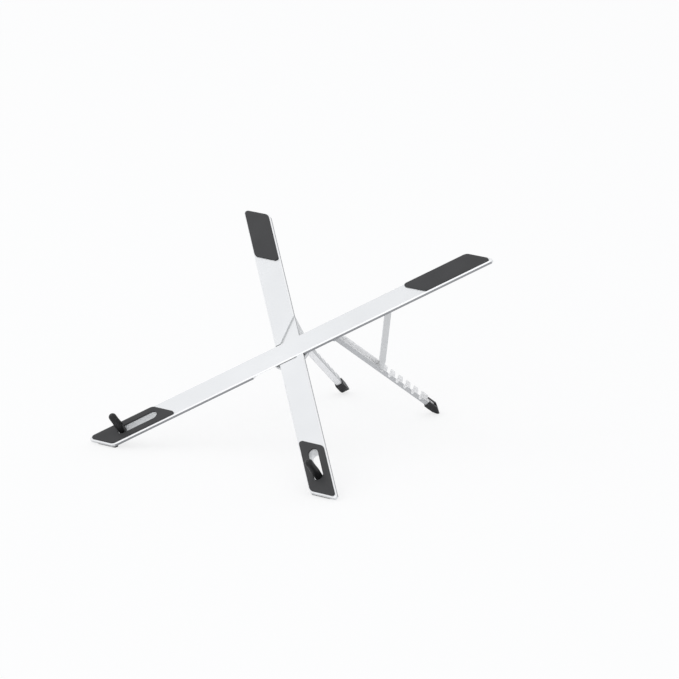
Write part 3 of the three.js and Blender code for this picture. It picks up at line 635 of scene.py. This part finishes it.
def plain_pin(name, letter, place, radius, half_length):
    """A cross pin whose ends are chamfered all round."""
    chamfer = radius * PIN_CHAMFER_SHARE
    profile = (
        (0, -half_length),
        (radius - chamfer, -half_length),
        (radius, -half_length + chamfer),
        (radius, half_length - chamfer),
        (radius - chamfer, half_length),
        (0, half_length),
    )
    points, quads = turned(profile, 32, "x")
    points += np.array(place)
    new_piece(f"steel_{name}", points, quads, letter, f"arm_{letter}", name, bright_steel)


def pan_head(shank, head, seat):
    """Half profile of a headed end: out along the seat, up a short rim and over a flat dome."""
    radius, height = head
    turn = np.radians(np.linspace(0, 90, 8))
    rim = height * HEAD_RIM_SHARE
    dome = np.stack((radius * np.cos(turn), seat + rim + (height - rim) * np.sin(turn)), axis=1)
    dome[-1, 0] = 0
    return np.concatenate(([(shank, seat), (radius, seat)], dome))


def leg_pin(letter):
    """The leg's hinge pin, with a domed head outside each ear of the bracket."""
    end = pan_head(SHANK_RADIUS, LEG_PIN_HEAD, LEG_HALF_WIDTH + GAP + BRACKET_SHEET + GAP)
    points, quads = turned(np.concatenate((end[::-1] * (1, -1), end)), 32, "x")
    points += np.array(hinge_place("leg_fold", letter))
    name = f"leg_pin_{letter}"
    new_piece(f"steel_{name}", points, quads, letter, f"arm_{letter}", name, bright_steel)


def bracket_rivet(letter, side, place_along):
    """A rivet that holds the leg bracket up against the arm, with its flat dome below."""
    seat = -ARM_THICKNESS - GAP - BRACKET_SHEET - GAP
    lower = pan_head(SHANK_RADIUS, RIVET_HEAD, 0)[::-1] * (1, -1) + (0, seat)
    upper = np.array([(SHANK_RADIUS, RIVET_TOP), (0, RIVET_TOP)])
    points, quads = turned(np.concatenate((lower, upper)), 32)
    points += (0, place_along, 0)
    name = f"bracket_rivet_{side}_{letter}"
    new_piece(f"steel_{name}", points, quads, letter, f"arm_{letter}", name, bright_steel)


for letter in "ab":
    break_edges(f"leg_bracket_{letter}", strip_steel, BRACKET_EDGE)
    break_edges(f"hook_core_{letter}", strip_steel, HOOK_CORE_EDGE)
    plain_pin(f"hook_pin_{letter}", letter, hinge_place("hook_fold", letter), CROSS_PIN_RADIUS, RIB_OUTER)
    plain_pin(f"strut_pin_{letter}", letter, hinge_place("strut_fold", letter), CROSS_PIN_RADIUS, RIB_OUTER)
    leg_pin(letter)
    hinge = hinge_place("leg_fold", letter)
    bracket_rivet(letter, "front", hinge.y - RIVET_REACH)
    bracket_rivet(letter, "back", hinge.y + RIVET_REACH)


# Crossing hub. An aluminium disc is turned with a broken edge and takes the pivot under the
# arms. Its washer is milky nylon, and the pivot pin has a low domed steel head.
HUB_RADIUS = 14.5
HUB_THICKNESS = 1.8
HUB_EDGE = 0.35
HUB_TOP = -ARM_THICKNESS - GAP
WASHER_RADIUS = 6.0
WASHER_THICKNESS = 0.6
WASHER_EDGE = 0.1
WASHER_TOP = HUB_TOP - HUB_THICKNESS - GAP
PIVOT_RADIUS = 3.0
PIVOT_HEAD = (5.5, 1.2)
PIVOT_HEAD_SEAT = WASHER_TOP - WASHER_THICKNESS - GAP
PIVOT_BORE = PIVOT_RADIUS + GAP
PIVOT_TOP = -0.6
PIVOT_CHAMFER = 0.1


def turned_ring(name, inner, outer, low, high, edge, material):
    """A flat ring with its outer edges chamfered, on the crossing's axis."""
    profile = np.array((
        (inner, low),
        (outer - edge, low),
        (outer, low + edge),
        (outer, high - edge),
        (outer - edge, high),
        (inner, high),
    ))
    points, _ = turned(profile, 96)
    quads = ring_quads(len(profile), 96, closed_rings=True)
    new_piece(f"turned_{name}", points, quads, "b", "arm_b", name, material, 30)


def nylon_plastic():
    """Milky nylon: a satin skin with a fine turning grain."""
    material, tree, output = new_material("milky_nylon")
    place = add_node(tree, "ShaderNodeTexCoord").outputs["Object"]
    grain = add_node(tree, "ShaderNodeTexNoise", {"Scale": 1 / (0.4 * MM)}, Vector=place)
    bump = add_node(
        tree, "ShaderNodeBump", {"Strength": 0.3, "Distance": 0.005 * MM}, Height=grain.outputs["Fac"]
    )
    surface = add_node(
        tree,
        "ShaderNodeBsdfPrincipled",
        {"Base Color": linear("#dedcd4"), "Roughness": 0.45},
        Normal=bump.outputs["Normal"],
    )
    tree.links.new(surface.outputs[0], output.inputs["Surface"])
    return material


def pivot_pin():
    """The pivot: a domed head below, and a shank that rises into its seat in arm A."""
    head = pan_head(PIVOT_RADIUS, PIVOT_HEAD, 0)[::-1] * (1, -1) + (0, PIVOT_HEAD_SEAT)
    chamfered = [
        (PIVOT_RADIUS, PIVOT_TOP - PIVOT_CHAMFER),
        (PIVOT_RADIUS - PIVOT_CHAMFER, PIVOT_TOP),
        (0, PIVOT_TOP),
    ]
    points, quads = turned(np.concatenate((head, chamfered)), 64)
    new_piece("steel_pivot_pin", points, quads, "a", "arm_a", "pivot_pin", bright_steel)


hub_low = HUB_TOP - HUB_THICKNESS
washer_low = WASHER_TOP - WASHER_THICKNESS
milky_nylon = nylon_plastic()
turned_ring("hub_disc", PIVOT_BORE, HUB_RADIUS, hub_low, HUB_TOP, HUB_EDGE, strut_metal)
turned_ring(
    "hub_washer", PIVOT_BORE, WASHER_RADIUS, washer_low, WASHER_TOP, WASHER_EDGE, milky_nylon
)
pivot_pin()
